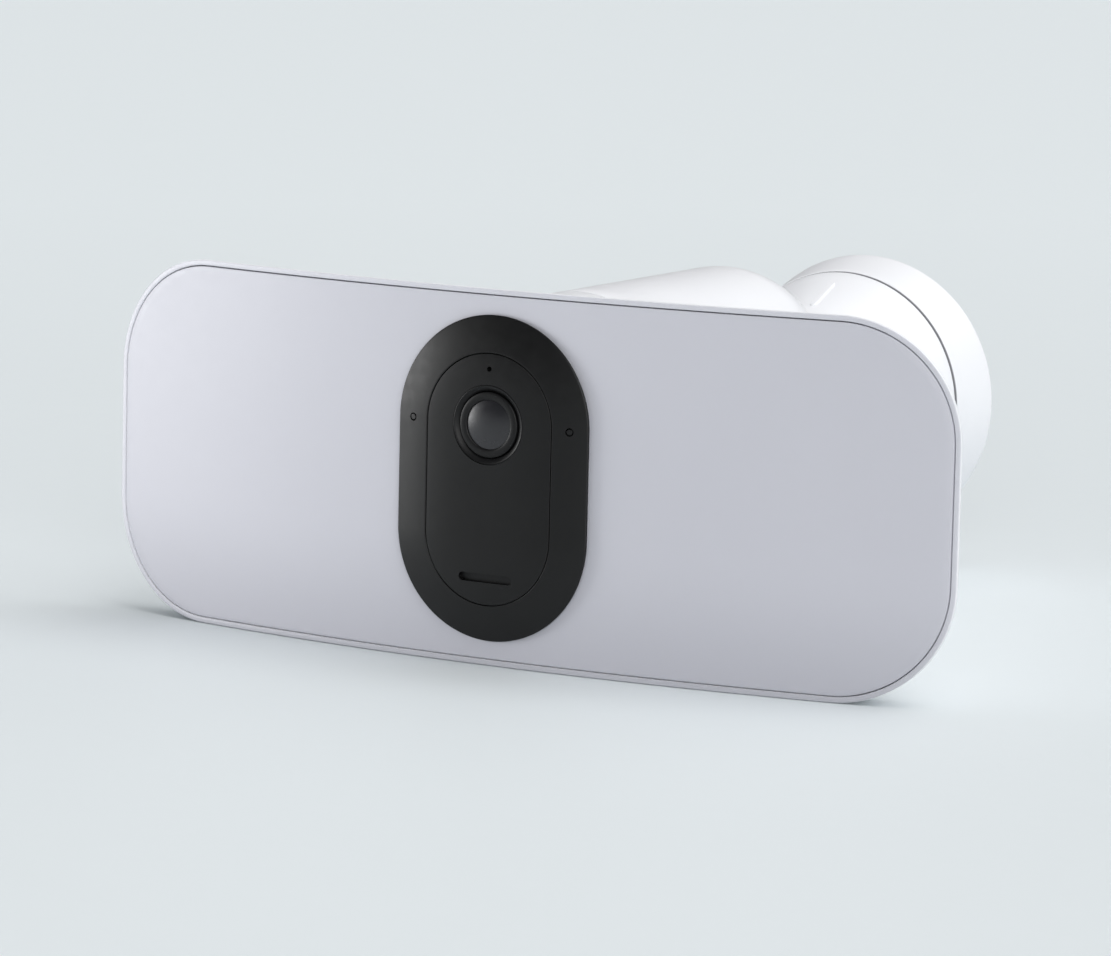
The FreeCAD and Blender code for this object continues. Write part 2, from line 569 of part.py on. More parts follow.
guide = box(-15.5, 15.5, 22.4, 25.2, LENS_Z - 8.0, LENS_Z + 8.0)
guide = guide.cut(box(-13.5, 13.5, 23.0, 24.6, LENS_Z - 5.3, LENS_Z + 5.3)).cut(cyl(4.4, 20, 27, 0, LENS_Z))
put("filter_guide", one(guide))
sl = box(-5.0, 13.0, 23.2, 24.4, LENS_Z - 5.0, LENS_Z + 5.0)
sl = sl.cut(cyl(3.5, 22, 26, 0, LENS_Z)).cut(cyl(3.5, 22, 26, 8.0, LENS_Z))
put("day_night_filter_frame", one(sl))
put("filter_glasses", [cyl(3.46, 23.4, 24.2, 0, LENS_Z), cyl(3.46, 23.4, 24.2, 8.0, LENS_Z)])
put("image_sensor", box(-4.6, 4.6, 25.7, 27.15, LENS_Z - 4.0, LENS_Z + 4.0))
put("image_sensor_board", box(-14, 14, 27.2, 28.4, LENS_Z - 14, LENS_Z + 14))

mb = pill_plate(33.0, 29.6, 31.2)
for x, z in board_spots:
    mb = mb.cut(cyl(1.5, 28, 33, x, z))
put("main_board", one(mb))
nodes["module_screws"] = Part.makeCompound(nodes["module_screws"].Solids
                                           + screws(board_spots, 2.4, 1.6, 1.2, 31.2, -1, 7.4))
chips = [box(-8, 8, 31.22, 32.8, -6, 10), box(12, 22, 31.22, 32.4, 2, 12), box(-24, -14, 31.22, 32.6, -2, 6),
         box(-6, 6, 31.22, 33.6, 16, 24), box(10, 18, 31.22, 33.4, -16, -8), box(-20, -12, 31.22, 34.2, -20, -12),
         box(-10, 10, 26.6, 29.58, -20, -14), box(14, 24, 27.6, 29.58, -24, -16)]
chips += [cyl(2.6, 31.22, 34.4, -22, z) for z in (16, 23)]
put("board_components", chips)
put("wifi_antenna", box(28.2, 29.0, 14.0, 28.0, -10, 10))
put("siren_sounder", fuse([cyl(13.0, 53.2, 57.95, 0, 25.0), cyl(9.0, 51.8, 53.4, 0, 25.0)]).cut(cyl(1.6, 50, 53, 0, 25.0)))

# ---------------------------------------------------------------------------
# Head: neck, battery cradle and seal
# ---------------------------------------------------------------------------
neck = pill_ring(R_IN, HOUSE_R, 19.5, SPLIT_D)
neck = neck.fuse(pill_ring(R_IN - 2.3, R_IN - 0.3, SPLIT_D - 4, 74.0)).fuse(pill_ring(R_IN - 1.0, HOUSE_R - 1.0, SPLIT_D - 4, SPLIT_D))
neck = neck.fuse(pill_ring(35.2, HOUSE_R - 1.0, 19.5, 24.0))
neck = neck.common(bowed(PANEL_T + 0.08))
cradle_spots = [(38.6, 16.0), (-38.6, 16.0), (38.6, -16.0), (-38.6, -16.0)]
for x, z in cradle_spots:
    bx = math.copysign(1, x)
    neck = neck.fuse(cyl(4.2, 48, 57.95, x, z)).fuse(box(min(x, x + bx * 6), max(x, x + bx * 6), 48, 57.95, z - 2.5, z + 2.5).common(
        pill_plate(HOUSE_R - 1.0, 40, 60)))
for x, z in cradle_spots:
    neck = neck.cut(cyl(1.45, 50, 59, x, z))
for x, z in neck_spots:
    neck = neck.cut(cyl(1.3, 18, 25, x, z))
neck = neck.cut(box(-4.6, 4.6, 68.0, 70.0, -66, -62))
neck = neck.cut(zcyl(10.2, -70, -60, 0, 46.2))
neck = neck.cut(zcyl(4.3, 60, 70, 0, 40.0))
put("neck_housing", one(neck))
put("neck_screws", screws(neck_spots, 2.1, 1.6, 1.25, 18.15, 1, 5.6))
put("shell_seal", pill_ring(R_IN - 0.25, HOUSE_R - 0.7, SPLIT_D + 0.02, SPLIT_D + 0.95))

grille = zcyl(9.95, -70, -60, 0, 46.2).common(pill_ring(R_IN + 0.1, HOUSE_R - 0.05, 30, 60))
for i in range(-3, 4):
    for j in range(-3, 4):
        px, pd = i * 2.6 + (1.3 if j % 2 else 0), j * 2.25
        if math.hypot(px, pd) < 8.0:
            grille = grille.cut(zcyl(0.7, -72, -58, px, 46.2 + pd))
put("speaker_grille", one(grille))
put("speaker", fuse([zcyl(11.0, -59.4, -57.6, 0, 46.2), zcyl(8.0, -57.8, -51.0, 0, 46.2)]))

cr = pill_plate(42.6, 58.0, 60.4).common(pill_plate(40.9, 50, 70))
cr = cr.fuse(box(-27, 27, 60.0, 176, -46.2, -44.2)).fuse(box(-27, -25, 60.0, 176, -46.2, -18)).fuse(
    box(25, 27, 60.0, 176, -46.2, -18))
cr = cr.fuse(box(-27, 27, 60.0, 120, 44.2, 46.2)).fuse(box(-27, -25, 60.0, 120, 30, 46.2)).fuse(box(25, 27, 60.0, 120, 30, 46.2))
for x, z in cradle_spots:
    cr = cr.cut(cyl(1.6, 55, 64, x, z))
pin_spots = [(0, -8.0), (0, 0.0), (0, 8.0)]
for x, z in pin_spots:
    cr = cr.cut(cyl(1.35, 55, 64, x, z))
put("battery_cradle", one(cr))
put("cradle_screws", screws(cradle_spots, 2.0, 1.5, 1.4, 60.4, -1, 9.0))
put("contact_pins", [fuse([cyl(1.3, 57.0, 63.0, x, z), cyl(0.9, 62.8, 65.8, x, z)]) for x, z in pin_spots])

# ---------------------------------------------------------------------------
# Battery pack
# ---------------------------------------------------------------------------
bat = box(-24.3, 24.3, 66.8, 164.0, -43.6, 43.6)
bat = bat.makeFillet(6.0, [e for e in bat.Edges if e.BoundBox.YLength > 50])
bat = bat.makeFillet(1.5, [e for e in bat.Edges if e.BoundBox.YLength < 0.01])
put("battery_pack", one(bat))
put("battery_contacts", [box(x - 2.2, x + 2.2, 66.15, 66.78, z - 2.6, z + 2.6) for x, z in pin_spots])

# ---------------------------------------------------------------------------
# Sync button on top of the neck
# ---------------------------------------------------------------------------
sb = zcyl(4.0, 62.0, 70, 0, 40.0).common(pill_plate(HOUSE_R + 0.25, 30, 50))
sb = sb.fuse(zcyl(5.4, 61.0, 63.4, 0, 40.0))
put("sync_button", one(sb))

os.makedirs("parts", exist_ok=True)
bad = []
for name, s in nodes.items():
    ok = s.isValid() and len(s.Solids) > 0 and all(q.isValid() and q.Volume > 0 for q in s.Solids)
    bb = s.BoundBox
    print("%-24s solids %2d vol %10.1f  x %7.1f %7.1f  d %6.1f %6.1f  z %6.1f %6.1f %s" % (
        name, len(s.Solids), s.Volume, bb.XMin, bb.XMax, bb.YMin + DEPTH, bb.YMax + DEPTH, bb.ZMin, bb.ZMax,
        "" if ok else "BAD"))
    if not ok:
        bad.append(name)
    s.exportStep("parts/" + name + ".step")
print(len(nodes), "nodes; bad:", bad)
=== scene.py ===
import bpy, bmesh, json, math
from mathutils import Vector, Matrix


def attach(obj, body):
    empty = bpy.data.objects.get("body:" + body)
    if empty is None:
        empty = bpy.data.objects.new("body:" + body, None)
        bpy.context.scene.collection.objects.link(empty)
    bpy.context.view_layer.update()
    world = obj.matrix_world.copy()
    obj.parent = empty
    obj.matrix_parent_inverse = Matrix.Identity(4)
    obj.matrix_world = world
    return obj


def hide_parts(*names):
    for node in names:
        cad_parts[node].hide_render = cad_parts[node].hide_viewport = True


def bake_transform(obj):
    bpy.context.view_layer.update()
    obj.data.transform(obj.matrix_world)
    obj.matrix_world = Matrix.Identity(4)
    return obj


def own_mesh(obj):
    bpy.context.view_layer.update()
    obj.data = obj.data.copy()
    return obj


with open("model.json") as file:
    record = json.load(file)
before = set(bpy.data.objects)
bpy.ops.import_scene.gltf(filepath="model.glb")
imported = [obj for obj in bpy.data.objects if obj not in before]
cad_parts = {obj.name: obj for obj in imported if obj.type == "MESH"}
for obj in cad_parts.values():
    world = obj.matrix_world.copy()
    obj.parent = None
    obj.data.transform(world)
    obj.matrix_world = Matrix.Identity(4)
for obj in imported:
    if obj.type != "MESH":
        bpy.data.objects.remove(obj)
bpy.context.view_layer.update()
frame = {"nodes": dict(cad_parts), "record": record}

# ------------------------------------------------------------------ sizes, mm
DEPTH = 321.0
FACE_R = 855.0
PANEL_HW, PANEL_HH, PANEL_CR = 189.0, 73.7, 47.2
HL = 21.5
BEZEL_R, BEZEL_BODY_R, BEZEL_EDGE, DOME_H = 42.3, 41.1, -1.55, 4.55
TAPER_X, TAPER_Z, RIM_EDGE = 0.66, 0.30, 1.3
END_D = 181.5
LENS_Z = 21.5
BALL_D = 213.0


def sag(x):
    x = min(abs(x), 400.0)
    return FACE_R - math.sqrt(FACE_R ** 2 - x * x)


def dome(r):
    return BEZEL_EDGE - DOME_H * (1.0 - (min(r, BEZEL_R) / BEZEL_R) ** 2.8)


def P(x, d, z):
    return (x / 1000.0, (d - DEPTH) / 1000.0, z / 1000.0)


# ------------------------------------------------------------- mesh utilities
def finish_mesh(bm, name, angle=32.0, doubles=2e-6):
    bmesh.ops.remove_doubles(bm, verts=bm.verts, dist=doubles)
    bmesh.ops.dissolve_degenerate(bm, edges=bm.edges, dist=1e-7)
    bmesh.ops.recalc_face_normals(bm, faces=bm.faces)
    me = bpy.data.meshes.new(name)
    bm.to_mesh(me)
    bm.free()
    for p in me.polygons:
        p.use_smooth = True
    me.set_sharp_from_angle(angle=math.radians(angle))
    ob = bpy.data.objects.new(name, me)
    bpy.context.scene.collection.objects.link(ob)
    return ob


def grid_into(bm, rings, closed_rings=True, skip=()):
    # rings: equal-length loops of points; each loop is closed on itself
    n = len(rings[0])
    vs = [[bm.verts.new(p) for p in r] for r in rings]
    m = len(rings)
    for i in range(m if closed_rings else m - 1):
        if i in skip:
            continue
        a, b = vs[i], vs[(i + 1) % m]
        for j in range(n):
            k = (j + 1) % n
            try:
                bm.faces.new((a[j], a[k], b[k], b[j]))
            except ValueError:
                pass


def grid(name, rings, closed_rings=True, angle=32.0, skip=()):
    bm = bmesh.new()
    grid_into(bm, rings, closed_rings, skip)
    return finish_mesh(bm, name, angle)


def on_axis(prof):
    # steps of a profile that run along the axis: they make no surface
    n = len(prof)
    return {i for i in range(n) if prof[i][0] == 0.0 and prof[(i + 1) % n][0] == 0.0}


def circle_loop(r, d, n, x0=0.0, z0=0.0):
    return [P(x0 + r * math.cos(2 * math.pi * j / n), d, z0 + r * math.sin(2 * math.pi * j / n)) for j in range(n)]


def lathe(name, prof, n=128, x0=0.0, z0=0.0, angle=32.0, closed=True):
    return grid(name, [circle_loop(r, d, n, x0, z0) for r, d in prof], closed, angle, on_axis(prof))


def pill_dirs(n=64, m=10):
    # (spine point z, normal) round a pill; n steps per half turn, m per side
    out = []
    for j in range(n + 1):
        a = math.pi * j / n
        out.append((HL, math.cos(a), math.sin(a)))
    for j in range(1, m):
        out.append((HL - 2 * HL * j / m, -1.0, 0.0))
    for j in range(n + 1):
        a = math.pi + math.pi * j / n
        out.append((-HL, math.cos(a), math.sin(a)))
    for j in range(1, m):
        out.append((-HL + 2 * HL * j / m, 1.0, 0.0))
    return out


def pill_loop(r, d, dirs, k=1.0):
    return [P(r * nx, d, z * k + r * nz) for z, nx, nz in dirs]


def pill_sweep(name, prof, n=64, m=10, angle=32.0):
    dirs = pill_dirs(n, m)
    return grid(name, [pill_loop(r, d, dirs) for r, d in prof], True, angle, on_axis(prof))


def rrect_outline(n_corner=24, n_top=36, n_side=8):
    # points and normals round the panel's rim, counter-clockwise seen from the front
    hw, hh, r = PANEL_HW, PANEL_HH, PANEL_CR
    out = []
    for cx, cz, a0 in ((hw - r, hh - r, 0), (-hw + r, hh - r, 90), (-hw + r, -hh + r, 180), (hw - r, -hh + r, 270)):
        for j in range(n_corner + 1):
            a = math.radians(a0 + 90.0 * j / n_corner)
            out.append((cx + r * math.cos(a), cz + r * math.sin(a), math.cos(a), math.sin(a)))
        if a0 == 0:
            for j in range(1, n_top):
                out.append((cx - 2 * (hw - r) * j / n_top, hh, 0.0, 1.0))
        elif a0 == 90:
            for j in range(1, n_side):
                out.append((-hw, cz - 2 * (hh - r) * j / n_side, -1.0, 0.0))
        elif a0 == 180:
            for j in range(1, n_top):
                out.append((cx + 2 * (hw - r) * j / n_top, -hh, 0.0, -1.0))
        else:
            for j in range(1, n_side):
                out.append((hw, cz + 2 * (hh - r) * j / n_side, 1.0, 0.0))
    return out


OUT = rrect_outline()


def rim_xz(i, dl):
    ln = max(0.0, dl - RIM_EDGE)
    return [(x - nx * i - TAPER_X * nx * ln, z - nz * i - TAPER_Z * nz * ln) for x, z, nx, nz in OUT]


def bend(pts, dl):
    return [P(x, sag(x) + dl, z) for x, z in pts]


def pill_at(pts, r):
    # pill outline points at the same bearings as pts
    out = []
    for x, z in pts:
        a = math.atan2(z, x)
        c, s = math.cos(a), math.sin(a)
        if abs(c) > 1e-9 and abs(s * (r / abs(c))) <= HL:
            t = r / abs(c)
        else:
            h = HL * (1 if s > 0 else -1)
            b = s * h
            t = b + math.sqrt(b * b - (HL * HL - r * r))
        out.append((c * t, s * t))
    return out


def lerp(a, b, t):
    return [(p[0] + (q[0] - p[0]) * t, p[1] + (q[1] - p[1]) * t) for p, q in zip(a, b)]


def fillet(c, r, a0, a1, n=6):
    return [(c[0] + r * math.cos(math.radians(a0 + (a1 - a0) * j / n)),
             c[1] + r * math.sin(math.radians(a0 + (a1 - a0) * j / n))) for j in range(n + 1)]


def cut(ob, *tools):
    for t in tools:
        m = ob.modifiers.new("cut", "BOOLEAN")
        m.operation = "DIFFERENCE"
        m.solver = "EXACT"
        m.object = t
    dg = bpy.context.evaluated_depsgraph_get()
    me = bpy.data.meshes.new_from_object(ob.evaluated_get(dg), depsgraph=dg)
    ob.modifiers.clear()
    old = ob.data
    ob.data = me
    bpy.data.meshes.remove(old)
    for p in me.polygons:
        p.use_smooth = True
    me.set_sharp_from_angle(angle=math.radians(32))
    for t in tools:
        d = t.data
        bpy.data.objects.remove(t)
        bpy.data.meshes.remove(d)
    return ob


def tool_lathe(prof, axis="Y", x0=0.0, z0=0.0, d0=0.0, n=96):
    # closed solid of revolution used only to cut with
    bm = bmesh.new()
    if axis == "Y":
        rings = [circle_loop(r, d, n, x0, z0) for r, d in prof]
    else:
        rings = [[P(x0 + r * math.cos(2 * math.pi * j / n), d0 + r * math.sin(2 * math.pi * j / n), z)
                  for j in range(n)] for r, z in prof]
    vs = [[bm.verts.new(p) for p in r] for r in rings]
    for i in range(len(rings) - 1):
        for j in range(n):
            bm.faces.new((vs[i][j], vs[i][(j + 1) % n], vs[i + 1][(j + 1) % n], vs[i + 1][j]))
    bm.faces.new(vs[0])
    bm.faces.new(vs[-1])
    return finish_mesh(bm, "tool", 32, 1e-7)


# ------------------------------------------------------------------ materials
def new_mat(name):
    m = bpy.data.materials.new(name)
    m.use_nodes = True
    nt = m.node_tree
    nt.nodes.clear()
    out = nt.nodes.new("ShaderNodeOutputMaterial")
    b = nt.nodes.new("ShaderNodeBsdfPrincipled")
    nt.links.new(b.outputs["BSDF"], out.inputs["Surface"])
    return m, nt, b


def coords(nt, scale=(1, 1, 1)):
    tc = nt.nodes.new("ShaderNodeTexCoord")
    mp = nt.nodes.new("ShaderNodeMapping")
    mp.inputs["Scale"].default_value = scale
    nt.links.new(tc.outputs["Object"], mp.inputs["Vector"])
    return mp.outputs["Vector"]


def noise(nt, vec, scale, detail=2.0, rough=0.5):
    n = nt.nodes.new("ShaderNodeTexNoise")
    n.inputs["Scale"].default_value = scale
    n.inputs["Detail"].default_value = detail
    n.inputs["Roughness"].default_value = rough
    nt.links.new(vec, n.inputs["Vector"])
    return n.outputs["Fac"]


def ramp(nt, fac, a, b, lo=0.3, hi=0.7):
    m = nt.nodes.new("ShaderNodeMapRange")
    m.inputs["From Min"].default_value = lo
    m.inputs["From Max"].default_value = hi
    m.inputs["To Min"].default_value = a
    m.inputs["To Max"].default_value = b
    nt.links.new(fac, m.inputs["Value"])
    return m.outputs["Result"]


def mixc(nt, fac, a, b):
    m = nt.nodes.new("ShaderNodeMix")
    m.data_type = "RGBA"
    for s in m.inputs:
        if s.type == "RGBA" and s.name == "A":
            s.default_value = (*a, 1)
        if s.type == "RGBA" and s.name == "B":
            s.default_value = (*b, 1)
    nt.links.new(fac, m.inputs[0])
    return [o for o in m.outputs if o.type == "RGBA"][0]


def bump(nt, bs, height, dist, strength=1.0, chain=None):
    b = nt.nodes.new("ShaderNodeBump")
    b.inputs["Distance"].default_value = dist
    b.inputs["Strength"].default_value = strength
    nt.links.new(height, b.inputs["Height"])
    if chain is not None:
        nt.links.new(chain, b.inputs["Normal"])
    if bs is not None:
        nt.links.new(b.outputs["Normal"], bs.inputs["Normal"])
    return b.outputs["Normal"]


def plastic(name, ca, cb, r0, r1, grain=2600.0, depth=0.000012, blotch=22.0, spec=0.5, coat=0.0, coat_r=0.1):
    m, nt, b = new_mat(name)
    v = coords(nt)
    big = noise(nt, v, blotch, 3.0)
    nt.links.new(mixc(nt, ramp(nt, big, 0, 1), ca, cb), b.inputs["Base Color"])
    mid = noise(nt, v, 260.0, 3.0)
    nt.links.new(ramp(nt, mid, r0, r1), b.inputs["Roughness"])
    fine = noise(nt, v, grain, 2.0, 0.6)
    bump(nt, b, fine, depth)
    b.inputs["Specular IOR Level"].default_value = spec
    if coat:
        b.inputs["Coat Weight"].default_value = coat
        b.inputs["Coat Roughness"].default_value = coat_r
    return m


def shade_by(nt, b, fac, dark):
    # mixes a second colour into the base colour with the given factor
    old = b.inputs["Base Color"].links[0].from_socket
    m = nt.nodes.new("ShaderNodeMix")
    m.data_type = "RGBA"
    sa, sb = [q for q in m.inputs if q.type == "RGBA"]
    sb.default_value = (*dark, 1)
    nt.links.new(old, sa)
    nt.links.new(fac, m.inputs[0])
    nt.links.new([o for o in m.outputs if o.type == "RGBA"][0], b.inputs["Base Color"])


def axis_of(nt, output, axis):
    tc = nt.nodes.new("ShaderNodeTexCoord")
    sp = nt.nodes.new("ShaderNodeSeparateXYZ")
    nt.links.new(tc.outputs[output], sp.inputs[0])
    return sp.outputs[axis]


def metal(name, ca, cb, r0, r1, stretch=(1, 1, 1), scale=900.0, depth=0.000008):
    m, nt, b = new_mat(name)
    v = coords(nt, stretch)
    f = noise(nt, v, scale, 3.0, 0.6)
    nt.links.new(mixc(nt, ramp(nt, f, 0, 1), ca, cb), b.inputs["Base Color"])
    nt.links.new(ramp(nt, f, r0, r1), b.inputs["Roughness"])
    b.inputs["Metallic"].default_value = 1.0
    bump(nt, b, f, depth)
    return m


M = {}
M["shell_white"] = plastic("moulded_white", (0.812, 0.820, 0.850), (0.832, 0.840, 0.868), 0.36, 0.46, 2400.0, 0.000014)
M["diffuser"] = plastic("frosted_diffuser", (0.530, 0.530, 0.580), (0.542, 0.542, 0.592), 0.42, 0.48, 3200.0, 0.000006, 9.0, 0.55)
M["black_gloss"] = plastic("satin_black_bezel", (0.0036, 0.0036, 0.0038), (0.0046, 0.0046, 0.0048), 0.36, 0.42, 3000.0, 0.000006, 60.0, 0.29)
M["black_face"] = plastic("satin_black_face", (0.0035, 0.0035, 0.0037), (0.0045, 0.0045, 0.0047), 0.36, 0.42, 3000.0, 0.000006, 60.0, 0.29)
M["black_plastic"] = plastic("glass_filled_black", (0.018, 0.018, 0.020), (0.030, 0.030, 0.032), 0.50, 0.66, 1500.0, 0.00003)
M["lens_ring"] = plastic("lens_ring_satin", (0.0036, 0.0036, 0.0040), (0.0050, 0.0050, 0.0054), 0.38, 0.46, 2600.0, 0.000006, 60.0, 0.24)
M["lens_trim"] = plastic("lens_trim_satin", (0.0036, 0.0036, 0.0040), (0.0050, 0.0050, 0.0054), 0.38, 0.46, 2600.0, 0.000006, 60.0, 0.24)
M["dark_window"] = plastic("dark_window", (0.0040, 0.0040, 0.0044), (0.0052, 0.0052, 0.0056), 0.34, 0.42, 3000.0, 0.000003, 60.0, 0.28)
M["port_black"] = plastic("microphone_port", (0.0016, 0.0016, 0.0017), (0.0022, 0.0022, 0.0023), 0.78, 0.88, 2600.0, 0.00002, 60.0, 0.06)
M["rubber_grey"] = plastic("seal_rubber", (0.055, 0.057, 0.060), (0.080, 0.082, 0.086), 0.62, 0.78, 1300.0, 0.00004)
M["button_grey"] = plastic("button_grey", (0.52, 0.54, 0.57), (0.56, 0.58, 0.61), 0.46, 0.56, 2200.0, 0.00002)
M["steel"] = metal("brushed_steel", (0.50, 0.50, 0.52), (0.66, 0.66, 0.67), 0.26, 0.42, (1, 12, 1))
M["aluminium"] = metal("rolled_aluminium", (0.68, 0.69, 0.71), (0.80, 0.81, 0.82), 0.28, 0.42, (1, 1, 14))
M["brass"] = metal("gold_contact", (0.78, 0.56, 0.22), (0.90, 0.70, 0.34), 0.18, 0.30)
M["board_white"] = plastic("led_board_mask", (0.80, 0.81, 0.80), (0.85, 0.86, 0.85), 0.38, 0.52, 900.0, 0.00001)
M["led"] = plastic("led_phosphor", (0.86, 0.76, 0.26), (0.92, 0.84, 0.40), 0.28, 0.40, 2500.0, 0.00001)
M["chip"] = plastic("chip_epoxy", (0.018, 0.018, 0.020), (0.032, 0.032, 0.034), 0.42, 0.6, 2500.0, 0.00002)
M["battery"] = plastic("battery_case", (0.045, 0.048, 0.052), (0.062, 0.065, 0.070), 0.44, 0.58, 1800.0, 0.00003)


def tray_material():
    # white shell with painted shade: faces turned to the front are painted the diffuser's darker grey
    m = plastic("tray_white_painted_shade", (0.812, 0.820, 0.850), (0.832, 0.840, 0.868), 0.36, 0.46, 2400.0, 0.000014)
    nt = m.node_tree
    b = [n for n in nt.nodes if n.type == "BSDF_PRINCIPLED"][0]
    front = ramp(nt, axis_of(nt, "Normal", 1), 1, 0, -0.93, -0.35)
    shade_by(nt, b, front, (0.590, 0.592, 0.640))
    # painted shade: those front faces are painted darker still toward the lower edge
    low = nt.nodes.new("ShaderNodeMath")
    low.operation = "MULTIPLY"
    nt.links.new(front, low.inputs[0])
    nt.links.new(ramp(nt, axis_of(nt, "Object", 2), 0, 1, -0.030, -0.072), low.inputs[1])
    shade_by(nt, b, low.outputs[0], (0.440, 0.440, 0.480))
    return m


M["tray_white_painted_shade"] = tray_material()


def mount_material():
    # white shell with painted shade: a dark band painted where the cone meets the skirt, in the gap between them
    m = plastic("mount_white_painted_seam_shade", (0.812, 0.820, 0.850), (0.832, 0.840, 0.868), 0.36, 0.46, 2400.0, 0.000014)
    nt = m.node_tree
    b = [n for n in nt.nodes if n.type == "BSDF_PRINCIPLED"][0]
    d = nt.nodes.new("ShaderNodeMath")
    d.operation = "ADD"
    d.inputs[1].default_value = 0.0250
    nt.links.new(axis_of(nt, "Object", 1), d.inputs[0])
    a = nt.nodes.new("ShaderNodeMath")
    a.operation = "ABSOLUTE"
    nt.links.new(d.outputs[0], a.inputs[0])
    # painted shade in the seam gap between cone and skirt
    shade_by(nt, b, ramp(nt, a.outputs[0], 1, 0, 0.00070, 0.00080), (0.27, 0.27, 0.29))
    return m


M["mount_white_painted_seam_shade"] = mount_material()


def paint_diffuser_lower_shade():
    # painted shade: the diffuser is painted greyer toward its lower edge
    nt = M["diffuser"].node_tree
    b = [n for n in nt.nodes if n.type == "BSDF_PRINCIPLED"][0]
    g = nt.nodes.new("ShaderNodeMapRange")
    g.interpolation_type = "SMOOTHSTEP"
    g.inputs["From Min"].default_value = -0.020
    g.inputs["From Max"].default_value = -0.074
    nt.links.new(axis_of(nt, "Object", 2), g.inputs["Value"])
    shade_by(nt, b, g.outputs["Result"], (0.452, 0.452, 0.498))


paint_diffuser_lower_shade()


def board_material():
    m, nt, b = new_mat("board_green")
    v = coords(nt)
    w = nt.nodes.new("ShaderNodeTexVoronoi")
    w.feature = "DISTANCE_TO_EDGE"
    w.inputs["Scale"].default_value = 260.0
    nt.links.new(v, w.inputs["Vector"])
    nt.links.new(mixc(nt, ramp(nt, w.outputs["Distance"], 1, 0, 0.02, 0.08), (0.008, 0.085, 0.040), (0.020, 0.160, 0.080)),
                 b.inputs["Base Color"])
    nt.links.new(ramp(nt, noise(nt, v, 700.0), 0.30, 0.44), b.inputs["Roughness"])
    bump(nt, b, w.outputs["Distance"], 0.00003)
    return m


M["board_green"] = board_material()


def lens_material():
    m, nt, b = new_mat("coated_glass")
    v = coords(nt)
    lw = nt.nodes.new("ShaderNodeLayerWeight")
    lw.inputs["Blend"].default_value = 0.35
    # painted reflection: the glass's colour turns lighter and purple toward grazing view angles
    nt.links.new(mixc(nt, lw.outputs["Facing"], (0.008, 0.008, 0.010), (0.014, 0.012, 0.020)), b.inputs["Base Color"])
    nt.links.new(ramp(nt, noise(nt, v, 300.0), 0.27, 0.33), b.inputs["Roughness"])
    b.inputs["Coat Weight"].default_value = 0.25
    b.inputs["Coat Roughness"].default_value = 0.24
    b.inputs["IOR"].default_value = 1.5
    return m


M["lens_glass"] = lens_material()

rec = frame["record"]
SLOT_OF = {s["node"]: s["material_slot"] for s in rec["subparts"]}


def use(ob, key):
    if len(ob.material_slots) == 0:
        ob.data.materials.append(M[key])
    for s in ob.material_slots:
        s.material = M[key]


for node, ob in frame["nodes"].items():
    use(ob, SLOT_OF[node])
# the microphone is black, and painted darker than the face as painted shade in its port
use(frame["nodes"]["microphone"], "port_black")


def stand_for(ob, body, slot, *nodes, mat=None):
    use(ob, mat or slot)
    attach(ob, body)
    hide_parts(*nodes)


# ---------------------------------------------------------------- light panel
def build_tray():
    rings = []
    prof = [(2.15, 5.15), (2.15, 3.0), (2.15, 0.55)] + fillet((1.90, 0.32), 0.25, 0, -80, 4)
    rings = [bend(rim_xz(i, d), d) for i, d in prof]
    rings += [bend(rim_xz(i, d), d) for i, d in [(1.75, 0.04), (1.5, 0.0), (1.1, 0.0), (0.75, 0.0)]]
    rings += [bend(rim_xz(i, d), d) for i, d in fillet((0.55, 0.55), 0.55, 270, 180, 8)]
    rings += [bend(rim_xz(0.0, 1.3), 1.3)]
    rings += [bend(rim_xz(0.0, d), d) for d in (4.0, 8.0, 12.0, 16.0)]
    back = [(3.2 - 3.2 * math.cos(math.radians(a)), 16.8 + 3.2 * math.sin(math.radians(a))) for a in range(0, 91, 10)]
    rings += [bend(rim_xz(i, d), d) for i, d in back]
    edge = rim_xz(3.2, 20.0)
    hole = pill_at(edge, 34.5)
    nb = 26
    rings += [bend(lerp(edge, hole, t / nb), 20.0) for t in range(1, nb + 1)]
    inner_edge = rim_xz(4.6, 17.4)
    rings += [bend(lerp(hole, inner_edge, t / nb), 17.4) for t in range(0, nb + 1)]
    rings += [bend(rim_xz(4.6, d), d) for d in (14.0, 10.0, 6.0, 5.2)]
    ob = grid("light_tray_shell", rings, True, 40)
    # wall round the camera well
    dirs = pill_dirs(48, 6)
    bm = bmesh.new()
    bm.from_mesh(ob.data)
    loops = []
    for r, a in ((40.0, 9.5), (43.0, 9.5), (43.0, 3.75), (45.0, 3.75), (45.0, 17.9), (40.0, 17.9)):
        loops.append([P(r * nx, a + (sag(r * nx) if a > 9 else sag(45.0) - 1.2 + sag(r * nx)), z + r * nz) for z, nx, nz in dirs])
    grid_into(bm, loops, True)
    old = ob.data
    bpy.data.objects.remove(ob)
    bpy.data.meshes.remove(old)
    return finish_mesh(bm, "light_tray_shell", 40)


tray = build_tray()
stand_for(tray, "head", "shell_white", "panel_tray", mat="tray_white_painted_shade")


def build_diffuser():
    edge = [(x - nx * 2.65, z - nz * 2.65) for x, z, nx, nz in OUT]
    edge_in = [(x - nx * 2.93, z - nz * 2.93) for x, z, nx, nz in OUT]
    hole = pill_at(edge, BEZEL_BODY_R + 0.25)
    n = 40
    rings = [bend(edge, 2.2), bend(edge, 1.2), bend(edge, 0.28), bend([(x - nx * 2.73, z - nz * 2.73) for x, z, nx, nz in OUT], 0.08)]
    rings += [bend(lerp(edge_in, hole, t / n), 0.0) for t in range(0, n + 1)]
    rings += [bend(lerp(hole, edge, t / 12), 2.2) for t in range(0, 12)]
    return grid("diffuser_plate", rings, True, 40)


stand_for(build_diffuser(), "head", "diffuser", "light_diffuser")

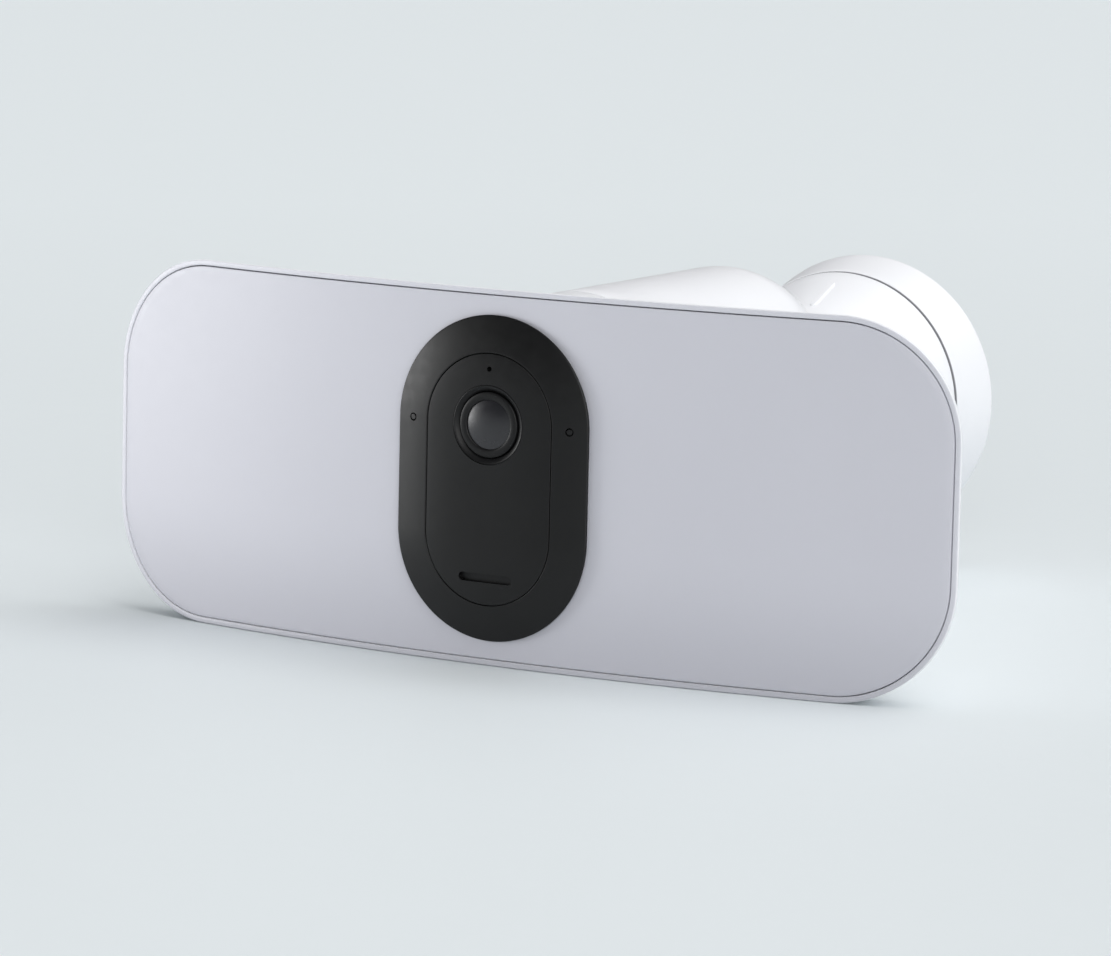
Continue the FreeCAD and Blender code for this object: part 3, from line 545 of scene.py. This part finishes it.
# --------------------------------------------------------- camera bezel, face
prof = [(27.95, -1.95), (27.95, dome(27.95) + 0.12), (28.07, dome(28.07) + 0.01)]
prof += [(28.1 + (41.85 - 28.1) * i / 28, dome(28.1 + (41.85 - 28.1) * i / 28)) for i in range(0, 29)]
prof += [(42.1, dome(42.1) + 0.02), (42.24, dome(42.24) + 0.09), (42.3, BEZEL_EDGE + 0.25), (42.3, -0.95), (42.22, -0.78), (42.05, -0.7),
         (BEZEL_BODY_R, -0.45), (BEZEL_BODY_R, 3.0), (BEZEL_BODY_R, 8.0),
         (39.0, 8.0), (39.0, 1.1), (37.0, dome(37.0) + 2.4), (33.0, dome(33.0) + 2.4), (30.4, dome(30.4) + 2.4), (30.2, -1.95)]
bezel = pill_sweep("camera_bezel", prof, 72, 12, 40)
bezel = cut(bezel, *[tool_lathe([(1.62, -9), (1.62, 6)], "Y", s * 35.0, LENS_Z, n=48) for s in (-1, 1)])
stand_for(bezel, "head", "black_gloss", "front_bezel")

prof = [(27.6 * i / 30.0, dome(27.6 * i / 30.0)) for i in range(0, 30)]
prof += [(27.45, dome(27.45) + 0.01), (27.57, dome(27.57) + 0.1), (27.6, dome(27.6) + 0.3), (27.6, -1.85), (30.0, -1.85), (30.0, -0.5), (25.0, -0.5), (25.0, -3.4), (0.0, -3.4)]
face = pill_sweep("camera_front", prof, 72, 12, 40)


def obround_tool(hw, h, z0, d0, d1, n=24):
    bm = bmesh.new()
    pts = []
    for cx, a0 in ((hw - h / 2, -90), (-hw + h / 2, 90)):
        for j in range(n + 1):
            a = math.radians(a0 + 180.0 * j / n)
            pts.append((cx + h / 2 * math.cos(a), z0 + h / 2 * math.sin(a)))
    a = [bm.verts.new(P(x, d0, z)) for x, z in pts]
    b = [bm.verts.new(P(x, d1, z)) for x, z in pts]
    for j in range(len(a)):
        k = (j + 1) % len(a)
        bm.faces.new((a[j], a[k], b[k], b[j]))
    bm.faces.new(a)
    bm.faces.new(b)
    return finish_mesh(bm, "tool", 32, 1e-7)


face = cut(face, tool_lathe([(15.6, -10), (15.6, 4)], "Y", 0, LENS_Z, n=128), tool_lathe([(1.0, -10), (1.0, 4)], "Y", 0, 43.2, n=40),
           obround_tool(11.9, 3.4, -38.5, -10, 4))
stand_for(face, "head", "black_face", "camera_face")



def sensor_pair():
    # two flanged windows whose faces follow the bezel's dome
    bm = bmesh.new()
    n = 40
    for s in (-1, 1):
        def at(q, d=None, off=0.0):
            out = []
            for j in range(n):
                a = 2 * math.pi * j / n
                x, z = s * 35.0 + q * math.cos(a), LENS_Z + q * math.sin(a)
                r = math.hypot(x, max(0.0, abs(z) - HL))
                out.append(P(x, dome(r) + 0.04 + off if d is None else d, z))
            return out
        rings = [at(0.0), at(0.3), at(0.6), at(0.9), at(1.02), at(1.10, off=0.03), at(1.14, off=0.10), at(1.15, off=0.25),
                 at(1.15, 1.0), at(1.55, 1.0), at(1.55, 1.4), at(2.6, 1.4), at(2.6, 2.4), at(1.3, 2.4), at(0.0, 2.4)]
        grid_into(bm, rings, True, {len(rings) - 1})
    return finish_mesh(bm, "sensor_windows_pair", 32)


stand_for(sensor_pair(), "head", "dark_window", "sensor_windows")

# ----------------------------------------------------------------------- lens
ring = lathe("lens_surround", [(15.5, -0.6), (15.5, -5.6)] + [(15.42, -5.75), (15.2, -5.82), (15.0, -5.76)] +
             [(15.0 - 1.6 * i / 6, -5.76 + 1.15 * (i / 6) ** 1.3) for i in range(1, 7)] + [(13.2, -4.4), (13.15, -4.0), (13.15, -0.6)],
             144, 0, LENS_Z, 30)
stand_for(ring, "head", "black_plastic", "lens_trim_ring", mat="lens_trim")
barrel = lathe("lens_barrel_body", [(9.65, -1.9), (9.65, -5.0), (9.75, -5.2), (10.0, -5.38), (10.4, -5.46), (11.2, -5.5), (12.0, -5.46), (12.45, -5.36),
                                    (12.7, -5.2), (12.8, -5.0), (12.8, 9.4), (11.4, 9.4), (11.4, 22.2), (5.0, 22.2), (5.0, 15.6), (6.35, 15.6),
                                    (6.35, 11.6), (7.8, 6.0), (7.8, -1.9)], 144, 0, LENS_Z, 30)
stand_for(barrel, "head", "lens_ring", "lens_barrel")
cap = (9.55 ** 2 + 1.15 ** 2) / (2 * 1.15)
gl = [(cap * math.sin(math.asin(9.55 / cap) * i / 20), -6.0 + cap - cap * math.cos(math.asin(9.55 / cap) * i / 20)) for i in range(21)]
glass = lathe("front_glass", gl + [(9.55, -1.95), (0.0, -1.95)], 144, 0, LENS_Z, 30)
stand_for(glass, "head", "lens_glass", "front_lens")

# --------------------------------------------------------------- rear housing
arc = [(46.0 * math.cos(math.radians(a)), END_D + 46.0 * math.sin(math.radians(a))) for a in [90.0 * i / 40 for i in range(41)]]
arc[-1] = (0.0, END_D + 46.0)
arci = [(43.4 * math.cos(math.radians(a)), END_D + 43.4 * math.sin(math.radians(a))) for a in [90.0 - 90.0 * i / 24 for i in range(25)]]
arci[0] = (0.0, END_D + 43.4)
prof = [(43.4, 63.2), (45.6, 63.2), (45.88, 63.32), (46.0, 63.6)] + [(46.0, 63.6 + (END_D - 63.6) * i / 10) for i in range(1, 10)] + arc
prof += arci + [(43.4, 140.0), (43.4, 100.0)]
house = pill_sweep("housing_shell", prof, 64, 10, 40)
fl = [(18.9, BALL_D + 4.0), (18.9, BALL_D + 6.6), (27.4, BALL_D + 16.0), (27.4, BALL_D + 20.0)]
house = cut(house, tool_lathe(fl, "Y"), tool_lathe([(6.3, -75), (6.3, -50)], "Z", 0, d0=100.0, n=64))


def closed_rod(bm, r, x, z, d0, d1, n=40, ease=0.25):
    # closed round post along Y with eased ends, added to an open mesh
    prof = [(0.0, d0), (r - ease, d0), (r, d0 + ease), (r, d1)]
    rings = [[bm.verts.new(P(x + max(q, 1e-5) * math.cos(2 * math.pi * j / n), d, z + max(q, 1e-5) * math.sin(2 * math.pi * j / n)))
              for j in range(n)] for q, d in prof]
    for a, b in zip(rings, rings[1:]):
        for j in range(n):
            k = (j + 1) % n
            bm.faces.new((a[j], a[k], b[k], b[j]))
    bm.faces.new(rings[-1])
    bm.faces.new(rings[0])


def closed_bar(bm, x0, x1, d0, d1, z0, z1, ease=0.3):
    # closed bar with chamfered long edges
    sec = [(x0 + ease, z0), (x1 - ease, z0), (x1, z0 + ease), (x1, z1 - ease), (x1 - ease, z1), (x0 + ease, z1), (x0, z1 - ease), (x0, z0 + ease)]
    a = [bm.verts.new(P(x, d0, z)) for x, z in sec]
    b = [bm.verts.new(P(x, d1, z)) for x, z in sec]
    for j in range(8):
        k = (j + 1) % 8
        bm.faces.new((a[j], a[k], b[k], b[j]))
    bm.faces.new(a)
    bm.faces.new(b)


# screw posts and latch ribs inside the housing
bm = bmesh.new()
bm.from_mesh(house.data)
for x in (-12.5, 12.5):
    for z in (-25.0, 25.0):
        closed_rod(bm, 3.6, x, z, 217.1, 223.9)
for s in (-1, 1):
    closed_bar(bm, s * 14 - 1.5, s * 14 + 1.5, 88.0, 112.0, -63.6, -54.5)
old = house.data
bpy.data.objects.remove(house)
bpy.data.meshes.remove(old)
house = finish_mesh(bm, "housing_shell", 40, 1e-8)
stand_for(house, "rear_shell", "shell_white", "rear_housing")

# --------------------------------------------- release button, spring and clip
KEY_D = 100.0


def key_ring(q, z=None, low=None, lift=0.0, n=72):
    # ring about the button's upright axis; low gives the housing radius that its underside follows
    out = []
    for j in range(n):
        a = 2 * math.pi * j / n
        x = q * math.cos(a)
        zz = z
        if low is not None:
            zz = -HL - math.sqrt(low * low - x * x) + lift
            if z is not None:
                zz = max(z, zz)
        out.append(P(x, KEY_D + q * math.sin(a), zz))
    return out


rings = [key_ring(q, None, 46.55) for q in (0.0, 1.5, 3.0, 4.4, 5.2)]
rings += [key_ring(5.6, None, 46.55, 0.06), key_ring(5.85, None, 46.55, 0.22), key_ring(6.0, None, 46.55, 0.55)]
rings += [key_ring(6.0, -64.0, 43.05), key_ring(8.4, -64.0, 43.05), key_ring(8.6, -64.0, 43.05, 0.2), key_ring(8.6, -61.6), key_ring(8.4, -61.4)]
rings += [key_ring(4.9, -61.4), key_ring(4.9, -58.15), key_ring(4.75, -58.0), key_ring(4.05, -58.0), key_ring(3.9, -58.15), key_ring(3.9, -62.6), key_ring(0.0, -62.6)]
stand_for(grid("release_button_cap", rings, True, 35, {len(rings) - 1}), "release_key", "button_grey", "release_button")


def coil(r, wire, z0, z1, turns, n=40, m=10):
    # helical wire with flat closed end turns
    bm = bmesh.new()
    steps = int((turns + 2) * n)
    prev = first = None
    for i in range(steps + 1):
        u = i / n
        t = min(1.0, max(0.0, (u - 1.0) / turns))
        z = z0 + wire + (2 * wire * min(1.0, u)) + (z1 - z0 - 6 * wire) * t + 2 * wire * max(0.0, u - 1.0 - turns)
        a = 2 * math.pi * u
        ring = []
        for k in range(m):
            b = 2 * math.pi * k / m
            q = r + wire * math.cos(b)
            ring.append(bm.verts.new(P(q * math.cos(a), KEY_D + q * math.sin(a), z + wire * math.sin(b))))
        if prev:
            for k in range(m):
                bm.faces.new((prev[k], prev[(k + 1) % m], ring[(k + 1) % m], ring[k]))
        else:
            first = ring
        prev = ring
    bm.faces.new(first)
    bm.faces.new(prev)
    return finish_mesh(bm, "release_spring_coil", 40, 1e-8)


spring = coil(2.9, 0.28, -62.25, -54.75, 4.0)
stand_for(spring, "rear_shell", "steel", "release_spring")
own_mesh(spring)


def clip_mesh():
    # leaf spring: clamped end, two rails beside the button's stem, pushed web, tongue and hook
    bm = bmesh.new()

    def slab(x0, x1, d0, d1, z0, z1, nd):
        ks = [d0 + (d1 - d0) * i / nd for i in range(nd + 1)]
        rows = [[bm.verts.new(P(x, d, z)) for x, z in ((x0, z0), (x1, z0), (x1, z1), (x0, z1))] for d in ks]
        for a, b in zip(rows, rows[1:]):
            for k in range(4):
                bm.faces.new((a[k], a[(k + 1) % 4], b[(k + 1) % 4], b[k]))
        bm.faces.new(rows[0])
        bm.faces.new(rows[-1])

    slab(-7.0, 7.0, 107.6, 111.5, -57.25, -56.5, 4)
    for x0, x1 in ((-7.0, -5.15), (5.15, 7.0)):
        slab(x0, x1, 96.4, 107.7, -57.25, -57.05, 30)
    slab(-7.0, 7.0, 92.0, 96.5, -57.25, -57.05, 10)
    slab(-4.0, 4.0, 69.4, 92.1, -57.25, -57.05, 20)
    slab(-4.0, 4.0, 68.4, 69.5, -64.2, -57.05, 2)
    return finish_mesh(bm, "latch_leaf", 32, 1e-8)


clip = clip_mesh()
use(clip, "steel")
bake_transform(clip)
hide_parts("latch_clip")

# ----------------------------------------------------------------- wall mount
def cone_r(d, off=0.0):
    return 56.1 - 0.42 * (296 - d) + off


# blend radius between the cone's flat front and its flank
th = math.atan(0.42)
fr = 8.0
cr = cone_r(250) - fr * math.tan((math.pi / 2 - th) / 2)
fil = [(cr + fr * math.sin(t), 250 + fr - fr * math.cos(t)) for t in [(math.pi / 2 - th) * i / 14 for i in range(15)]]
prof = [(8.06, 250.0)] + [(8.06 + (cr - 8.06) * i / 4, 250.0) for i in range(1, 4)] + fil
d_last = fil[-1][1]
prof += [(cone_r(d_last + (294.6 - d_last) * i / 12), d_last + (294.6 - d_last) * i / 12) for i in range(1, 13)]
prof += [(cone_r(294.9) - 0.10, 294.95), (cone_r(295.2) - 0.35, 295.25), (cone_r(295.4) - 0.8, 295.4)]
prof += [(cone_r(295.4, -3.2), 295.4), (cone_r(262, -3.2), 262.0), (cone_r(253, -9.0), 253.0), (8.06, 253.0)]
cone = lathe("cone_cover", prof, 192, 0, 0, 35)


def tick_mark():
    # raised index bar along the top of the cone, with rounded ends and edges
    bm = bmesh.new()
    n, w, h = 40, 1.65, 1.0
    d0, d1 = 266.0, 285.5
    rows = []
    for i in range(n + 1):
        d = d0 + (d1 - d0) * i / n
        e = min(d - d0, d1 - d)
        k = math.sqrt(max(0.0, 1 - (1 - min(1.0, e / w)) ** 2))
        row = []
        for j in range(13):
            a = math.pi * j / 12
            x = w * k * math.cos(a)
            hh = -0.35 + (h + 0.35) * min(1.0, 1.35 * math.sin(a)) * (0.35 + 0.65 * k)
            r = cone_r(d) + hh
            row.append(P(x, d, math.sqrt(max(0, r * r - x * x))))
        rows.append(row)
    vs = [[bm.verts.new(p) for p in r] for r in rows]
    for i in range(n):
        for j in range(13):
            k = (j + 1) % 13
            bm.faces.new((vs[i][j], vs[i][k], vs[i + 1][k], vs[i + 1][j]))
    return bm


bm = bmesh.new()
bm.from_mesh(cone.data)
tb = tick_mark()
tm = bpy.data.meshes.new("t")
bmesh.ops.remove_doubles(tb, verts=tb.verts, dist=1e-6)
tb.to_mesh(tm)
tb.free()
bm.from_mesh(tm)
bpy.data.meshes.remove(tm)
old = cone.data
bpy.data.objects.remove(cone)
bpy.data.meshes.remove(old)
cone = finish_mesh(bm, "cone_cover", 35)
stand_for(cone, "collar", "shell_white", "mount_cone", mat="mount_white_painted_seam_shade")

r1 = 56.1 + 0.213 * 23.0
prof = [(53.4, 296.6), (55.2, 296.6), (55.8, 296.75), (56.15, 297.05)]
prof += [(56.25 + (r1 - 56.25) * i / 8, 297.3 + (319.0 - 297.3) * i / 8) for i in range(0, 9)]
prof += [(61.1, 320.0), (60.95, 320.6), (60.5, 321.0), (57.6, 321.0), (57.6, 317.9), (45.0, 317.9), (45.0, 315.0), (57.0, 315.0), (53.4, 299.0)]
skirt = lathe("base_cover", prof, 192, 0, 0, 35)
skirt = cut(skirt, *[tool_lathe([(1.7, 310), (1.7, 320)], "Y", 49 * math.cos(math.radians(a)), 49 * math.sin(math.radians(a)), n=32) for a in (90, 210, 330)])
stand_for(skirt, "base", "shell_white", "base_skirt", mat="mount_white_painted_seam_shade")

# ---------------------------------------------------------------------- stage
FLOOR_Z = -0.0739
bm = bmesh.new()
n = 96
c = bm.verts.new((0, 0, FLOOR_Z))
radii = [0.4, 1.2, 4.0, 14.0, 40.0]
prev = None
for r in radii:
    vs = [bm.verts.new((r * math.cos(2 * math.pi * j / n), r * math.sin(2 * math.pi * j / n), FLOOR_Z)) for j in range(n)]
    for j in range(n):
        k = (j + 1) % n
        bm.faces.new((c, vs[j], vs[k]) if prev is None else (prev[j], vs[j], vs[k], prev[k]))
    prev = vs
floor = finish_mesh(bm, "studio_floor", 32)
fm, nt, b = new_mat("studio_paper")
v = coords(nt)
f = noise(nt, v, 3.0, 2.0)
nt.links.new(mixc(nt, ramp(nt, f, 0, 1), (0.750, 0.797, 0.817), (0.756, 0.803, 0.823)), b.inputs["Base Color"])
ln = nt.nodes.new("ShaderNodeVectorMath")
ln.operation = "LENGTH"
nt.links.new(v, ln.inputs[0])
# painted light: the paper is painted lighter from 0.25 m out to 1.6 m from its middle
shade_by(nt, b, ramp(nt, ln.outputs["Value"], 0, 1, 0.25, 1.6), (0.795, 0.845, 0.866))
nt.links.new(ramp(nt, noise(nt, v, 90.0), 0.60, 0.66), b.inputs["Roughness"])
b.inputs["Specular IOR Level"].default_value = 0.25
floor.data.materials.append(fm)

# ------------------------------------------------------------- camera, lights
AZ, EL, ROLL = math.radians(29.794), math.radians(8.475), math.radians(1.302)
DIST, TX, TZ = 2.020946, 0.027374, 0.002782
back = Vector((math.sin(AZ) * math.cos(EL), -math.cos(AZ) * math.cos(EL), math.sin(EL)))
fw = -back
right = fw.cross(Vector((0, 0, 1))).normalized()
up = right.cross(fw)
cr_, sr_ = math.cos(ROLL), math.sin(ROLL)
right, up = cr_ * right + sr_ * up, -sr_ * right + cr_ * up
cam_data = bpy.data.cameras.new("studio_camera")
cam = bpy.data.objects.new("studio_camera", cam_data)
bpy.context.scene.collection.objects.link(cam)
cam_data.sensor_width = 36.0
cam_data.sensor_fit = "HORIZONTAL"
cam_data.lens = 5256.577 * 36.0 / 1111.0
cam_data.clip_end = 100.0
loc = Vector((TX, -DEPTH / 1000.0, TZ)) + back * DIST
mw = Matrix((right, up, back)).transposed().to_4x4()
mw.translation = loc
cam.matrix_world = mw
bpy.context.scene.camera = cam


def distant(name, az, el, spread, power, colour=(1, 1, 1)):
    # large soft light far away; azimuth 0 is in front of the object, +90 on its right
    d = bpy.data.lights.new(name, "SUN")
    d.energy = power
    d.angle = math.radians(spread)
    d.color = colour
    o = bpy.data.objects.new(name, d)
    bpy.context.scene.collection.objects.link(o)
    a, e = math.radians(az), math.radians(el)
    v = Vector((math.sin(a) * math.cos(e), -math.cos(a) * math.cos(e), math.sin(e)))
    o.rotation_euler = v.to_track_quat("Z", "Y").to_euler()
    return o


def near(name, az, el, dist, size, power, colour=(1, 1, 1)):
    # square softbox at a distance from the middle of the panel, facing it
    d = bpy.data.lights.new(name, "AREA")
    d.shape = "SQUARE"
    d.size = size
    d.energy = power
    d.color = colour
    o = bpy.data.objects.new(name, d)
    bpy.context.scene.collection.objects.link(o)
    a, e = math.radians(az), math.radians(el)
    v = Vector((math.sin(a) * math.cos(e), -math.cos(a) * math.cos(e), math.sin(e)))
    o.location = Vector((0.0, -DEPTH / 1000.0, 0.0)) + v * dist
    o.rotation_euler = v.to_track_quat("Z", "Y").to_euler()
    return o


left = near("left_softbox", -65, 2, 0.84, 0.40, 4.35)
flagged = bpy.data.collections.new("kept_off_the_paper")
flagged.objects.link(floor)
left.light_linking.receiver_collection = flagged
flagged.collection_objects[0].light_linking.link_state = "EXCLUDE"
distant("front_right_fill", 34, 14, 36, 1.34)
distant("right_softbox", 84, 57, 58, 1.95)
distant("back_right_softbox", 150, 50, 50, 0.36)
distant("back_softbox", 180, 50, 70, 0.40)
distant("overhead_softbox", 0, 90, 50, 0.40)
w = bpy.data.worlds.new("studio_world")
bpy.context.scene.world = w
w.use_nodes = True
w.node_tree.nodes["Background"].inputs["Color"].default_value = (0.745, 0.775, 0.800, 1)
w.node_tree.nodes["Background"].inputs["Strength"].default_value = 0.07
bpy.context.scene.view_settings.view_transform = "Standard"
bpy.context.scene.view_settings.look = "None"
